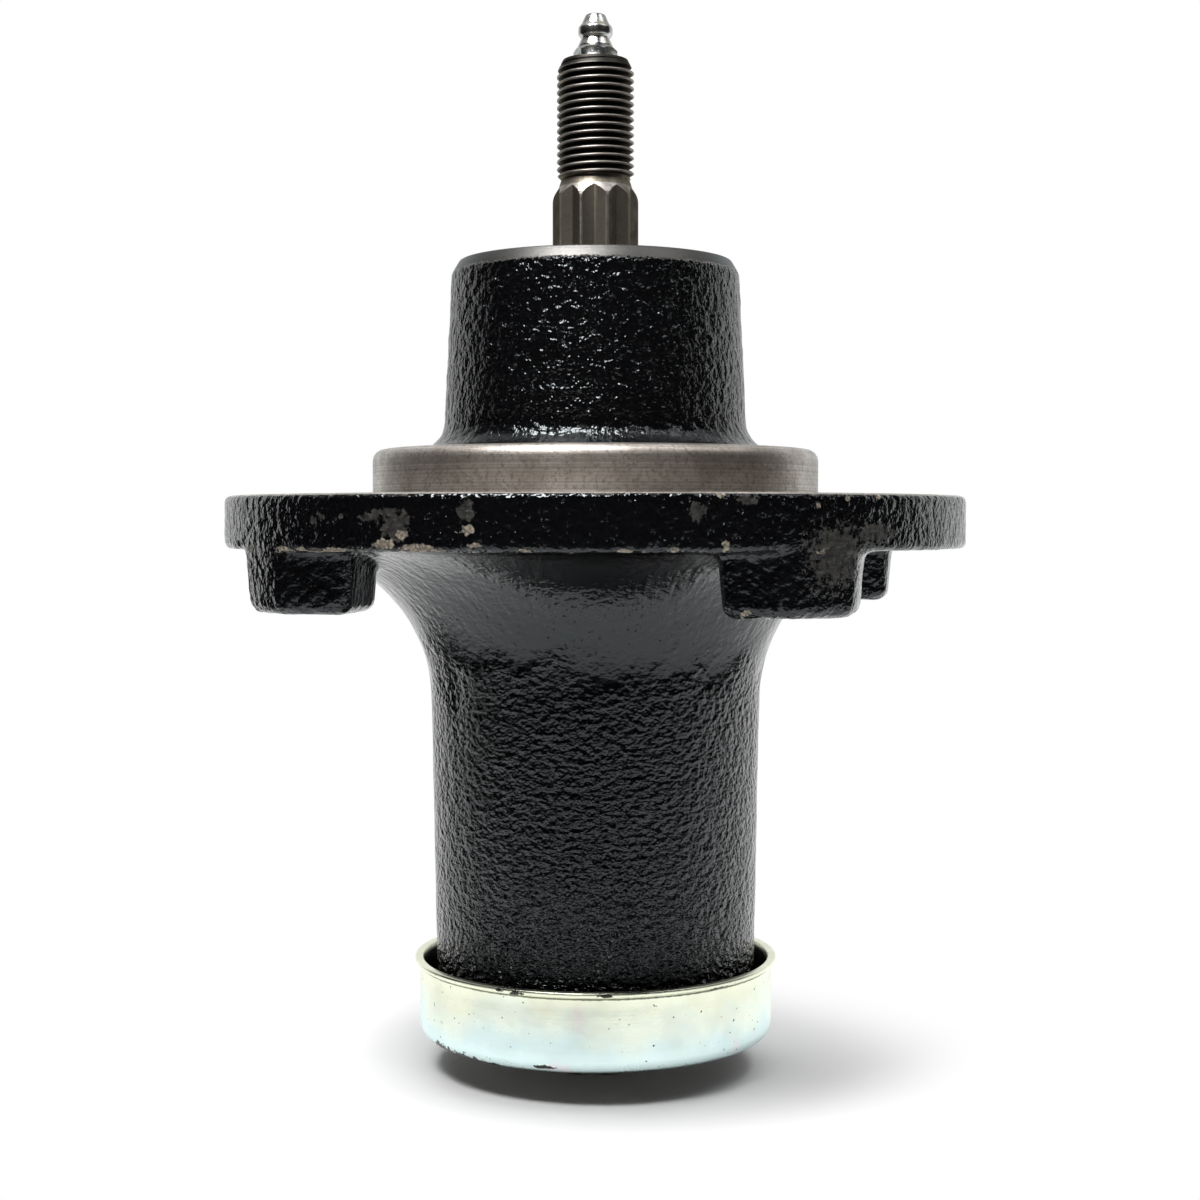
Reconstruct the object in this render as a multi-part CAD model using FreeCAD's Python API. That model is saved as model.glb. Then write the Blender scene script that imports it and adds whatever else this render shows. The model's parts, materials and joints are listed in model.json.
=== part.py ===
import FreeCAD, Part
import math
import os

# Mower deck spindle, millimetres, +Z up along the shaft.
# The origin is the middle of the shaft's lower face, on which the spindle stands.

Vector = FreeCAD.Vector
up = Vector(0, 0, 1)
centre = Vector(0, 0, 0)

# Ball bearings: bore and outside radius, width and balls
upper_bore_radius = 8.5
upper_outer_radius = 20.0
upper_width = 12.0
upper_ball_radius = 3.373
upper_ball_count = 8
lower_bore_radius = 10.0
lower_outer_radius = 23.5
lower_width = 14.0
lower_ball_radius = 3.969
lower_ball_count = 8
ring_corner = 0.7
ball_clearance = 0.03
shoulder_drop = 0.4
cage_sheet = 0.6
cage_clearance = 0.1
cage_land_gap = 0.5
rivet_radius = 0.45
rivet_head_radius = 0.7
rivet_head_height = 0.35
seal_thickness = 0.8
seal_recess = 0.2
seal_step = 0.9
seal_lip_gap = 0.08

# Shaft
blade_star_radius = 11.4
blade_star_height = 6.05
blade_star_chamfer = 0.6
star_points = 10
star_crest_cut = 0.1
neck_radius = 11.6
collar_radius = 13.5
collar_height = 5.95
collar_chamfer = 0.8
seat_setback = 0.3
seat_relief = 0.2
spline_radius = 7.94
spline_length = 17.25
spline_chamfer_height = 2.1
spline_chamfer = 1.34
spline_phase = 10.0
undercut_radius = 6.5
undercut_length = 2.05
thread_radius = 7.14
thread_length = 21.1
thread_end_chamfer = 1.1
thread_end_chamfer_height = 2.2
blade_bolt_radius = 4.25
blade_bolt_depth = 30.0
gallery_radius = 1.5
cross_hole_height = 80.0

# Grease fitting
fitting_shank_radius = 2.75
fitting_shank_length = 5.5
fitting_hex_flats = 7.14
fitting_hex_height = 2.8
fitting_hex_chamfer = 0.6
fitting_hex_turn = 33.3
fitting_neck_radius = 2.55
fitting_neck_height = 1.3
fitting_head_radius = 3.16
fitting_head_height = 2.5
fitting_shoulder_radius = 2.6
fitting_nose_height = 1.9
fitting_nose_radius = 1.75
check_ball_radius = 1.2
check_ball_gap = 0.06
check_mouth_radius = 0.9
check_ball_travel = 1.0
spring_wire_radius = 0.18
spring_turns = 5
spring_ledge = 0.8
shank_fit = 0.02

# Spacer and dust cup
spacer_radius = 11.5
spacer_clearance = 0.25
spacer_hole_radius = 2.0
cup_sheet = 1.0
cup_radius = 32.9
cup_height = 14.55
cup_corner = 2.2
cup_lip = 0.85
cup_lip_height = 1.5
cup_fit = 0.02

# Housing
seat_fit = 0.01
lower_recess = 3.6
upper_recess = 3.0
bore_chamfer = 0.8
shoulder_width = 3.0
shoulder_length = 4.0
cavity_relief = 1.5
cavity_slope = 2.0
barrel_foot_radius = 29.5
barrel_length = 87.2
barrel_edge = 1.5
waist_radius = 31.1
flare_radius = 27.6
flange_radius = 68.0
flange_thickness = 9.4
flange_edge = 1.1
pilot_radius = 41.275
pilot_height = 8.6
pilot_edge = 2.1
boss_height = 34.8
boss_foot_radius = 28.2
boss_foot_fillet = 5.0
boss_rim_radius = 26.6
boss_chamfer_height = 2.4
boss_chamfer = 1.4
lug_setback = 15.4
lug_rim_setback = 0.2
lug_length = 22.4
lug_height = 10.7
lug_draft = 5.0
lug_corner = 3.4
lug_inner_corner = 7.5
lug_bottom_edge = 2.2
lug_root_fillet = 1.6
bolt_edge_distance = 10.85
bolt_hole_radius = 4.0
bolt_hole_chamfer = 0.6

# Places that follow from the flange's rim
lug_face = flange_radius - lug_setback
bolt_circle_radius = flange_radius - bolt_edge_distance

# Heights that follow from the stack on the shaft
cup_floor = blade_star_height
collar_floor = cup_floor + cup_sheet
lower_bearing_floor = collar_floor + collar_height
lower_bearing_top = lower_bearing_floor + lower_width
housing_floor = lower_bearing_floor - lower_recess
flange_floor = housing_floor + barrel_length
flange_top = flange_floor + flange_thickness
pilot_top = flange_top + pilot_height
boss_top = pilot_top + boss_height
upper_bearing_top = boss_top - upper_recess
upper_bearing_floor = upper_bearing_top - upper_width
spline_floor = upper_bearing_top - seat_setback
spline_top = spline_floor + spline_length
thread_floor = spline_top + undercut_length
shaft_top = thread_floor + thread_length


def drawn(outline, place):
    # Closed wire through an outline's points, put in space by place. A nested pair is an arc: via, end.
    edges = []
    start = place(*outline[0])
    for item in outline[1:] + outline[:1]:
        if isinstance(item[0], tuple):
            via, end = (place(*point) for point in item)
            edges.append(Part.Arc(start, via, end).toShape())
        else:
            end = place(*item)
            edges.append(Part.LineSegment(start, end).toShape())
        start = end
    return Part.Wire(edges)


def turned(outline):
    # Solid of revolution of a closed outline of radii and heights.
    wire = drawn(outline, lambda radius, height: Vector(radius, 0, height))
    return Part.Face(wire).revolve(centre, up, 360)


def disc(radius, floor, top):
    return Part.makeCylinder(radius, top - floor, Vector(0, 0, floor))


def rounded(shape, size, corners):
    # Fillet the circles about the axis that run through the given (radius, height) corners.
    edges = []
    for edge in shape.Edges:
        if not isinstance(edge.Curve, Part.Circle):
            continue
        for radius, height in corners:
            if abs(edge.Curve.Radius - radius) < 1e-4 and abs(edge.Curve.Center.z - height) < 1e-4:
                edges.append(edge)
    return shape.makeFillet(size, edges)


def polar(radius, degrees, height=0):
    angle = math.radians(degrees)
    return Vector(radius * math.cos(angle), radius * math.sin(angle), height)


def turned_copies(shape, count, phase=0):
    copies = []
    for index in range(count):
        copy = shape.copy()
        copy.rotate(centre, up, phase + index * 360 / count)
        copies.append(copy)
    return copies


def star_prism(crest_radius, floor, top):
    # Two crossed pentagons. Their points stand out a little and are turned off to flat crests.
    tip = crest_radius + star_crest_cut
    step = 180 / star_points
    valley = tip * math.cos(math.radians(2 * step)) / math.cos(math.radians(step))
    points = []
    for index in range(2 * star_points):
        radius = valley if index % 2 else tip
        points.append(polar(radius, spline_phase + index * step, floor))
    outline = Part.makePolygon(points + points[:1])
    return Part.Face(outline).extrude(Vector(0, 0, top - floor))


# Housing: one casting, turned outside, lugs, bores and tapped holes
def housing_skin():
    flare_floor = flange_floor - flare_radius
    flare_turn = flare_radius * (1 - math.sqrt(0.5))
    flare_via = (waist_radius + flare_turn, flange_floor - flare_turn)
    flare_end = (waist_radius + flare_radius, flange_floor)
    skin = turned([
        (0, housing_floor),
        (barrel_foot_radius, housing_floor),
        (waist_radius, flare_floor),
        (flare_via, flare_end),
        (flange_radius, flange_floor),
        (flange_radius, flange_top),
        (pilot_radius, flange_top),
        (pilot_radius, pilot_top),
        (boss_foot_radius, pilot_top),
        (boss_rim_radius, boss_top - boss_chamfer_height),
        (boss_rim_radius - boss_chamfer, boss_top),
        (0, boss_top),
    ])
    skin = rounded(skin, barrel_edge, [(barrel_foot_radius, housing_floor)])
    skin = rounded(skin, flange_edge, [(flange_radius, flange_floor), (flange_radius, flange_top)])
    skin = rounded(skin, pilot_edge, [(pilot_radius, pilot_top)])
    return rounded(skin, boss_foot_fillet, [(boss_foot_radius, pilot_top)])


def lug_outline(offset, height):
    # Plan of a lug: a square pad with round corners, its outer corner cut off by the rim.
    near = lug_face - lug_length - offset
    far = lug_face + offset
    rim = flange_radius - lug_rim_setback + offset
    corner = lug_corner + offset
    inner = lug_inner_corner + offset
    turn = corner * (1 - math.sqrt(0.5))
    inner_turn = inner * (1 - math.sqrt(0.5))
    side = math.sqrt((rim - corner) ** 2 - (far - corner) ** 2)
    bend = math.atan2(side, far - corner)
    bend_x = far - corner + corner * math.cos(bend / 2)
    bend_y = side + corner * math.sin(bend / 2)
    rim_x = rim * math.cos(bend)
    rim_y = rim * math.sin(bend)
    middle = rim * math.sqrt(0.5)
    return drawn([
        (near, near + inner),
        ((near + inner_turn, near + inner_turn), (near + inner, near)),
        (far - corner, near),
        ((far - turn, near + turn), (far, near + corner)),
        (far, side),
        ((bend_x, bend_y), (rim_x, rim_y)),
        ((middle, middle), (rim_y, rim_x)),
        ((bend_y, bend_x), (side, far)),
        (near + corner, far),
        ((near + turn, far - turn), (near, far - corner)),
    ], lambda x, y: Vector(x, y, height))


def corner_lug():
    # Drafted all round, and run a little way into the flange.
    slope = math.tan(math.radians(lug_draft))
    floor = flange_floor - lug_height
    root = flange_floor + flange_edge
    sections = [lug_outline(flange_edge * slope, root), lug_outline(-lug_height * slope, floor)]
    lug = Part.makeLoft(sections, True, True)
    bottom = [edge for edge in lug.Edges if edge.BoundBox.ZMax < floor + 1e-4]
    return lug.makeFillet(lug_bottom_edge, bottom)


def housing_bore():
    lower_seat = lower_outer_radius + seat_fit
    upper_seat = upper_outer_radius + seat_fit
    lower_land = lower_outer_radius - shoulder_width
    upper_land = upper_outer_radius - shoulder_width
    lower_land_top = lower_bearing_top + shoulder_length
    upper_land_floor = upper_bearing_floor - shoulder_length
    return turned([
        (0, housing_floor),
        (lower_seat + bore_chamfer, housing_floor),
        (lower_seat, housing_floor + bore_chamfer),
        (lower_seat, lower_bearing_top),
        (lower_land, lower_bearing_top),
        (lower_land, lower_land_top),
        (lower_land + cavity_relief, lower_land_top + cavity_slope),
        (upper_land + cavity_relief, upper_land_floor - cavity_slope),
        (upper_land, upper_land_floor),
        (upper_land, upper_bearing_floor),
        (upper_seat, upper_bearing_floor),
        (upper_seat, boss_top - bore_chamfer),
        (upper_seat + bore_chamfer, boss_top),
        (0, boss_top),
    ])


def bolt_hole():
    floor = flange_floor - lug_height
    hole = turned([
        (0, floor),
        (bolt_hole_radius + bolt_hole_chamfer, floor),
        (bolt_hole_radius, floor + bolt_hole_chamfer),
        (bolt_hole_radius, flange_top),
        (0, flange_top),
    ])
    hole.translate(polar(bolt_circle_radius, 45))
    return hole


def spindle_housing():
    skin = housing_skin()
    lugs = Part.makeCompound(turned_copies(corner_lug(), 4))
    casting = skin.fuse(lugs).removeSplitter()
    roots = []
    for edge in casting.Edges:
        middle = Part.Vertex(edge.valueAt((edge.FirstParameter + edge.LastParameter) / 2))
        on_both = [part.distToShape(middle)[0] < 1e-4 for part in (skin.Shells[0], lugs)]
        if all(on_both):
            roots.append(edge)
    casting = casting.makeFillet(lug_root_fillet, roots)
    return casting.cut(housing_bore()).cut(turned_copies(bolt_hole(), 4))


# Shaft: turned in one piece, with a star at each end
def spindle_shaft():
    seat_top = lower_bearing_top - seat_setback
    step = lower_bore_radius - upper_bore_radius
    waist = upper_bore_radius - seat_relief
    run_out = thread_radius - undercut_radius
    body = turned([
        (0, blade_star_height),
        (neck_radius, blade_star_height),
        (neck_radius, collar_floor),
        (collar_radius, collar_floor),
        (collar_radius, lower_bearing_floor - collar_chamfer),
        (collar_radius - collar_chamfer, lower_bearing_floor),
        (lower_bore_radius, lower_bearing_floor),
        (lower_bore_radius, seat_top - step),
        (waist, seat_top),
        (waist, upper_bearing_floor - seat_setback),
        (upper_bore_radius, upper_bearing_floor + seat_setback),
        (upper_bore_radius, spline_floor),
        (undercut_radius, spline_floor),
        (undercut_radius, thread_floor - run_out),
        (thread_radius, thread_floor),
        (thread_radius, shaft_top - thread_end_chamfer_height),
        (thread_radius - thread_end_chamfer, shaft_top),
        (0, shaft_top),
    ])
    spline_blank = turned([
        (0, spline_floor),
        (spline_radius, spline_floor),
        (spline_radius, spline_top - spline_chamfer_height),
        (spline_radius - spline_chamfer, spline_top),
        (0, spline_top),
    ])
    blade_blank = turned([
        (0, 0),
        (blade_star_radius - blade_star_chamfer, 0),
        (blade_star_radius, blade_star_chamfer),
        (blade_star_radius, blade_star_height),
        (0, blade_star_height),
    ])
    spline = star_prism(spline_radius, spline_floor, spline_top).common(spline_blank)
    blade_star = star_prism(blade_star_radius, 0, blade_star_height).common(blade_blank)
    cross_hole = Part.makeCylinder(gallery_radius, 2 * lower_bore_radius,
                                   Vector(-lower_bore_radius, 0, cross_hole_height), Vector(1, 0, 0))
    shaft = body.fuse([spline, blade_star]).removeSplitter()
    return shaft.cut([
        disc(blade_bolt_radius, 0, blade_bolt_depth),
        disc(gallery_radius, cross_hole_height, shaft_top),
        disc(fitting_shank_radius + shank_fit, shaft_top - fitting_shank_length, shaft_top),
        cross_hole,
    ])


# Spacer tube between the two inner rings, with a grease hole on each side
def bearing_spacer():
    tube = disc(spacer_radius, lower_bearing_top, upper_bearing_floor)
    bore = disc(upper_bore_radius + spacer_clearance, lower_bearing_top, upper_bearing_floor)
    hole = Part.makeCylinder(spacer_hole_radius, 2 * spacer_radius,
                             Vector(-spacer_radius, 0, cross_hole_height), Vector(1, 0, 0))
    return tube.cut(bore).cut(hole)


# Dust cup: one pressed sheet, its rim turned out to a small lip
def dust_cup():
    rim = cup_floor + cup_height
    lip_floor = rim - cup_lip_height
    inner = cup_radius - cup_sheet
    hole = neck_radius + cup_fit
    cup = turned([
        (hole, cup_floor),
        (cup_radius, cup_floor),
        (cup_radius, lip_floor),
        (cup_radius + cup_lip, rim - cup_sheet / 2),
        (cup_radius + cup_lip, rim),
        (inner + cup_lip / 2, rim),
        (inner, lip_floor),
        (inner, cup_floor + cup_sheet),
        (hole, cup_floor + cup_sheet),
    ])
    cup = rounded(cup, cup_corner, [(cup_radius, cup_floor)])
    return rounded(cup, cup_corner - cup_sheet, [(inner, cup_floor + cup_sheet)])


# Ball bearing: rings, balls, riveted ribbon cage and one seal on the side away from the grease
def bearing(name, bore, outer, width, ball_radius, ball_count, floor, seal_above):
    pitch = (bore + outer) / 2
    middle = floor + width / 2
    top = floor + width
    groove = ball_radius + ball_clearance
    land_offset = ball_radius * (1 - shoulder_drop)
    inner_land = pitch - land_offset
    outer_land = pitch + land_offset
    half_groove = math.sqrt(groove ** 2 - land_offset ** 2)

    inner_ring = turned([
        (bore, floor + ring_corner),
        (bore + ring_corner, floor),
        (inner_land, floor),
        (inner_land, middle - half_groove),
        ((pitch - groove, middle), (inner_land, middle + half_groove)),
        (inner_land, top),
        (bore + ring_corner, top),
        (bore, top - ring_corner),
    ])
    outer_ring = turned([
        (outer, floor + ring_corner),
        (outer - ring_corner, floor),
        (outer_land, floor),
        (outer_land, middle - half_groove),
        ((pitch + groove, middle), (outer_land, middle + half_groove)),
        (outer_land, top),
        (outer - ring_corner, top),
        (outer, top - ring_corner),
    ])
    seal_depth = seal_recess + seal_thickness
    seal_floor = top - seal_depth if seal_above else floor + seal_recess
    step_floor = top - seal_depth if seal_above else floor
    seat = outer_land + seal_step
    outer_ring = outer_ring.cut(disc(seat, step_floor, step_floor + seal_depth))
    seal = disc(seat, seal_floor, seal_floor + seal_thickness).cut(
        disc(inner_land + seal_lip_gap, seal_floor, seal_floor + seal_thickness))

    ball = Part.makeSphere(ball_radius, Vector(pitch, 0, middle))
    pocket = ball_radius + cage_clearance
    shell = pocket + cage_sheet
    band = disc(outer_land - cage_land_gap, middle, middle + shell).cut(
        disc(inner_land + cage_land_gap, middle, middle + shell))
    arch = Part.makeCylinder(shell, outer, Vector(0, 0, middle), Vector(1, 0, 0))
    hollow = Part.makeCylinder(pocket, outer, Vector(0, 0, middle), Vector(1, 0, 0))
    slab = disc(outer, middle, middle + cage_sheet)
    rivet_hole = Part.makeCylinder(rivet_radius, cage_sheet, Vector(pitch, 0, middle))
    half_step = 180 / ball_count
    cage_top = slab.fuse(turned_copies(arch, ball_count)).common(band)
    cage_top = cage_top.cut(turned_copies(hollow, ball_count))
    cage_top = cage_top.cut(turned_copies(rivet_hole, ball_count, half_step)).removeSplitter()
    cage_bottom = cage_top.mirror(Vector(0, 0, middle), up)
    rivet = turned([
        (0, -cage_sheet - rivet_head_height),
        (rivet_head_radius, -cage_sheet - rivet_head_height),
        (rivet_head_radius, -cage_sheet),
        (rivet_radius, -cage_sheet),
        (rivet_radius, cage_sheet),
        (rivet_head_radius, cage_sheet),
        (rivet_head_radius, cage_sheet + rivet_head_height),
        (0, cage_sheet + rivet_head_height),
    ])
    rivet.translate(Vector(pitch, 0, middle))
    return {
        name + "_inner_ring": inner_ring,
        name + "_outer_ring": outer_ring,
        name + "_seal": seal,
        name + "_balls": Part.makeCompound(turned_copies(ball, ball_count)),
        name + "_cage_top": cage_top,
        name + "_cage_bottom": cage_bottom,
        name + "_cage_rivets": Part.makeCompound(turned_copies(rivet, ball_count, half_step)),
    }


# Grease fitting: body, check ball under its mouth and the spring that holds the ball up
fitting_neck_floor = shaft_top + fitting_hex_height
fitting_head_floor = fitting_neck_floor + fitting_neck_height
fitting_head_top = fitting_head_floor + fitting_head_height
fitting_top = fitting_head_top + fitting_nose_height
fitting_bore = check_ball_radius + check_ball_gap
seat_slope = math.radians(45)
check_ball_centre = fitting_top - 2 * check_ball_radius
spring_floor = shaft_top - fitting_shank_length + spring_ledge


def grease_fitting_body():
    corner = fitting_hex_flats / 2 / math.cos(math.radians(30))
    corners = [polar(corner, fitting_hex_turn + 30 + 60 * index, shaft_top) for index in range(7)]
    hexagon = Part.Face(Part.makePolygon(corners)).extrude(Vector(0, 0, fitting_hex_height))
    hexagon = hexagon.common(turned([
        (0, shaft_top),
        (corner - fitting_hex_chamfer, shaft_top),
        (corner, shaft_top + fitting_hex_chamfer / 2),
        (corner, fitting_neck_floor - 2 * fitting_hex_chamfer),
        (corner - 2 * fitting_hex_chamfer, fitting_neck_floor),
        (0, fitting_neck_floor),
    ]))
    head_edge = fitting_head_radius - fitting_neck_radius
    head = turned([
        (0, shaft_top - fitting_shank_length),
        (fitting_shank_radius, shaft_top - fitting_shank_length),
        (fitting_shank_radius, shaft_top),
        (fitting_neck_radius, fitting_neck_floor),
        (fitting_neck_radius, fitting_head_floor),
        (fitting_head_radius, fitting_head_floor + head_edge),
        (fitting_head_radius, fitting_head_top - head_edge),
        (fitting_shoulder_radius, fitting_head_top),
        (fitting_nose_radius, fitting_top),
        (0, fitting_top),
    ])
    # The bore is stepped in at its foot for the spring, and coned to the ball's seat at its mouth.
    seat_touch = check_ball_radius * math.sin(seat_slope)
    seat_height = check_ball_centre + check_ball_radius * math.cos(seat_slope)
    seat_floor = seat_height - (fitting_bore - seat_touch) + check_ball_gap
    mouth_floor = seat_floor + fitting_bore - check_mouth_radius
    bore = turned([
        (0, shaft_top - fitting_shank_length),
        (check_mouth_radius, shaft_top - fitting_shank_length),
        (check_mouth_radius, spring_floor),
        (fitting_bore, spring_floor),
        (fitting_bore, seat_floor),
        (check_mouth_radius, mouth_floor),
        (check_mouth_radius, fitting_top),
        (0, fitting_top),
    ])
    return hexagon.fuse(head).removeSplitter().cut(bore)


def grease_fitting_spring():
    coil_radius = check_ball_radius - spring_wire_radius
    low = spring_floor + spring_wire_radius
    touch = math.sqrt((check_ball_radius + spring_wire_radius) ** 2 - coil_radius ** 2)
    high = check_ball_centre - touch
    pitch = (high - low) / spring_turns
    helix = Part.makeHelix(pitch, high - low, coil_radius)
    helix.translate(Vector(0, 0, low))
    wire = Part.Wire(Part.makeCircle(spring_wire_radius, Vector(coil_radius, 0, low), Vector(0, 1, 0)))
    return Part.Wire(helix.Edges).makePipeShell([wire], True, True)


nodes = {
    "spindle_housing": spindle_housing(),
    "spindle_shaft": spindle_shaft(),
    "bearing_spacer": bearing_spacer(),
    "dust_cup": dust_cup(),
    "grease_fitting_body": grease_fitting_body(),
    "grease_fitting_ball": Part.makeSphere(check_ball_radius, Vector(0, 0, check_ball_centre)),
    "grease_fitting_spring": grease_fitting_spring(),
}
nodes.update(bearing("upper_bearing", upper_bore_radius, upper_outer_radius, upper_width,
                     upper_ball_radius, upper_ball_count, upper_bearing_floor, True))
nodes.update(bearing("lower_bearing", lower_bore_radius, lower_outer_radius, lower_width,
                     lower_ball_radius, lower_ball_count, lower_bearing_floor, False))

os.makedirs("parts", exist_ok=True)
for node, shape in nodes.items():
    shape.exportStep("parts/" + node + ".step")
    print(node, "solids", len(shape.Solids), "volume", round(shape.Volume, 1), "valid", shape.isValid())
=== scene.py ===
import bpy
import bmesh
import json
import math
from mathutils import Matrix, Vector, kdtree


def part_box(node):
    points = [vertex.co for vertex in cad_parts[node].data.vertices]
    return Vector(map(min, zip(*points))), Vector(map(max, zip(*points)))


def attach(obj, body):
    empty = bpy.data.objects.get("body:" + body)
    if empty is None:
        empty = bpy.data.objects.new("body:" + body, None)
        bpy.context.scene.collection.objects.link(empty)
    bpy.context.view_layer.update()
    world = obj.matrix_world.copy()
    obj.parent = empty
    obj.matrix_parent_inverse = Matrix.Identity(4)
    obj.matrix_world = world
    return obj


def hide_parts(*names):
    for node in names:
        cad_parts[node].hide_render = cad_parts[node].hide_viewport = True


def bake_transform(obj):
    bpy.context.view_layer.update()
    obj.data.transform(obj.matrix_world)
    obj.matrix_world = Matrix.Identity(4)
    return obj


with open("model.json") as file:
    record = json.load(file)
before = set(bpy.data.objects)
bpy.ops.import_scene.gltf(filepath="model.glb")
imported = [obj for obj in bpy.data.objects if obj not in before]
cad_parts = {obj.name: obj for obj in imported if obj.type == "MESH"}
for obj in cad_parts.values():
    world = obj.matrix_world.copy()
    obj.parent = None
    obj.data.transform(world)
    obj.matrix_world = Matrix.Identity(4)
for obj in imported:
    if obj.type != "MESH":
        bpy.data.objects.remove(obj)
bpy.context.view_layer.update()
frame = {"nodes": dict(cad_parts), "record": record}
nodes = frame["nodes"]
mm = 0.001
up = Vector((0, 0, 1))
print("frame loaded with", len(nodes), "nodes")


# Mesh helpers

def turnedMesh(corners, steps, rowHeight):
    # corners: (radius, height, rounding) of a closed outline, turned about Z
    bm = bmesh.new()
    outline = [bm.verts.new((radius * mm, 0, height * mm)) for radius, height, rounding in corners]
    bm.faces.new(outline)
    for vert, (radius, height, rounding) in zip(outline, corners):
        if rounding:
            bmesh.ops.bevel(bm, geom=[vert], offset=rounding * mm, offset_type="OFFSET",
                            segments=max(3, round(rounding * 2)), profile=0.5, affect="VERTICES", material=-1)
    bmesh.ops.delete(bm, geom=bm.faces[:], context="FACES_ONLY")
    onAxis = [edge for edge in bm.edges if max(vert.co.x for vert in edge.verts) < 0.001 * mm]
    bmesh.ops.delete(bm, geom=onAxis, context="EDGES")
    for edge in bm.edges[:]:
        middle = (edge.verts[0].co + edge.verts[1].co) / 2 / mm
        cuts = int(edge.calc_length() / mm / rowHeight(middle.x, middle.z))
        if cuts:
            bmesh.ops.subdivide_edges(bm, edges=[edge], cuts=cuts)
    bmesh.ops.spin(bm, geom=bm.verts[:] + bm.edges[:], cent=(0, 0, 0), axis=up,
                   angle=2 * math.pi, steps=steps, use_merge=True)
    return closed(bm)


def closed(bm):
    bmesh.ops.remove_doubles(bm, verts=bm.verts, dist=0.001 * mm)
    bmesh.ops.recalc_face_normals(bm, faces=bm.faces)
    return bm


def newObject(name, bm):
    mesh = bpy.data.meshes.new(name)
    bm.to_mesh(mesh)
    bm.free()
    made = bpy.data.objects.new(name, mesh)
    bpy.context.scene.collection.objects.link(made)
    return made


def drill(bm, radius, length, place):
    bmesh.ops.create_cone(bm, cap_ends=True, segments=48, radius1=radius * mm, radius2=radius * mm,
                          depth=length * mm, matrix=place)


def combine(target, tool, operation):
    modifier = target.modifiers.new("combine", "BOOLEAN")
    modifier.operation = operation
    modifier.solver = "MANIFOLD"
    modifier.object = tool
    result = target.evaluated_get(bpy.context.evaluated_depsgraph_get())
    mesh = bpy.data.meshes.new_from_object(result)
    target.modifiers.clear()
    target.data = mesh
    bpy.data.objects.remove(tool)
    return target


def dress(piece, node, material, sharpAngle):
    piece.data.materials.clear()
    piece.data.materials.append(material)
    piece.data.shade_smooth()
    piece.data.set_sharp_from_angle(angle=math.radians(sharpAngle))
    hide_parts(node)
    print(piece.name, "has", len(piece.data.polygons), "faces")


def evenRows(height):
    return lambda radius, z: height


plainRows = evenRows(60)  # for what stays smooth


# Camera, where the photograph was taken from

photoView = {
    "azimuth": 11.8,  # degrees from -Y towards +X
    "distance": 372.6,  # mm from the shaft's axis
    "height": 101.3,
    "aside": 0.84,  # mm to the right, so that the shaft stands left of the middle
    "pitch": 2.235,  # degrees below level
    "lens": 59.85,
}
viewTurn = math.radians(photoView["azimuth"])
towardsCamera = Vector((math.sin(viewTurn), -math.cos(viewTurn), 0))
rightOfView = Vector((math.cos(viewTurn), math.sin(viewTurn), 0))


def placeCamera():
    data = bpy.data.cameras.new("photoCamera")
    data.lens = photoView["lens"]
    data.sensor_width = 36
    data.clip_start = 0.01
    data.clip_end = 20
    camera = bpy.data.objects.new("photoCamera", data)
    camera.location = (towardsCamera * photoView["distance"] + rightOfView * photoView["aside"]
                       + up * photoView["height"]) * mm
    camera.rotation_euler = (math.radians(90 - photoView["pitch"]), 0, viewTurn)
    bpy.context.scene.collection.objects.link(camera)
    bpy.context.scene.camera = camera


placeCamera()


# Material helpers

def newMaterial(name, metallic, roughness, ior=1.5):
    material = bpy.data.materials.new(name)
    material.use_nodes = True
    tree = material.node_tree
    shader = tree.nodes["Principled BSDF"]
    shader.inputs["Metallic"].default_value = metallic
    shader.inputs["Roughness"].default_value = roughness
    shader.inputs["IOR"].default_value = ior
    place = addNode(tree, "ShaderNodeTexCoord").outputs["Object"]
    return material, tree, shader, place


def addNode(tree, kind, inputs=None, **settings):
    node = tree.nodes.new(kind)
    for name, value in settings.items():
        setattr(node, name, value)
    for name, value in (inputs or {}).items():
        if isinstance(value, bpy.types.NodeSocket):
            tree.links.new(value, node.inputs[name])
        else:
            node.inputs[name].default_value = value
    return node


def calc(tree, operation, first, second=0.0):
    return addNode(tree, "ShaderNodeMath", {0: first, 1: second}, operation=operation).outputs[0]


def ease(tree, value, low, high, lowResult=0.0, highResult=1.0):
    inputs = {"Value": value, "From Min": low, "From Max": high, "To Min": lowResult, "To Max": highResult}
    return addNode(tree, "ShaderNodeMapRange", inputs, interpolation_type="SMOOTHSTEP").outputs[0]


def grain(tree, place, size, detail=2.0, roughness=0.5):
    inputs = {"Vector": place, "Scale": 1 / (size * mm), "Detail": detail, "Roughness": roughness}
    return addNode(tree, "ShaderNodeTexNoise", inputs).outputs[0]


def blendColour(tree, amount, first, second):
    inputs = {0: amount, 6: first, 7: second}
    return addNode(tree, "ShaderNodeMix", inputs, data_type="RGBA").outputs[2]


def relief(tree, height, depth):
    inputs = {"Height": height, "Distance": depth * mm, "Strength": 1.0}
    return addNode(tree, "ShaderNodeBump", inputs).outputs[0]


def roundPlace(tree, place):
    # distance from the axis and height, in mm
    scale = (1 / mm, 1 / mm, 1 / mm)
    scaled = addNode(tree, "ShaderNodeVectorMath", {0: place, 1: scale}, operation="MULTIPLY")
    parts = addNode(tree, "ShaderNodeSeparateXYZ", {0: scaled.outputs[0]})
    flat = addNode(tree, "ShaderNodeCombineXYZ", {0: parts.outputs[0], 1: parts.outputs[1]})
    radius = addNode(tree, "ShaderNodeVectorMath", {0: flat.outputs[0]}, operation="LENGTH").outputs["Value"]
    return radius, parts.outputs[2]


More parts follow.
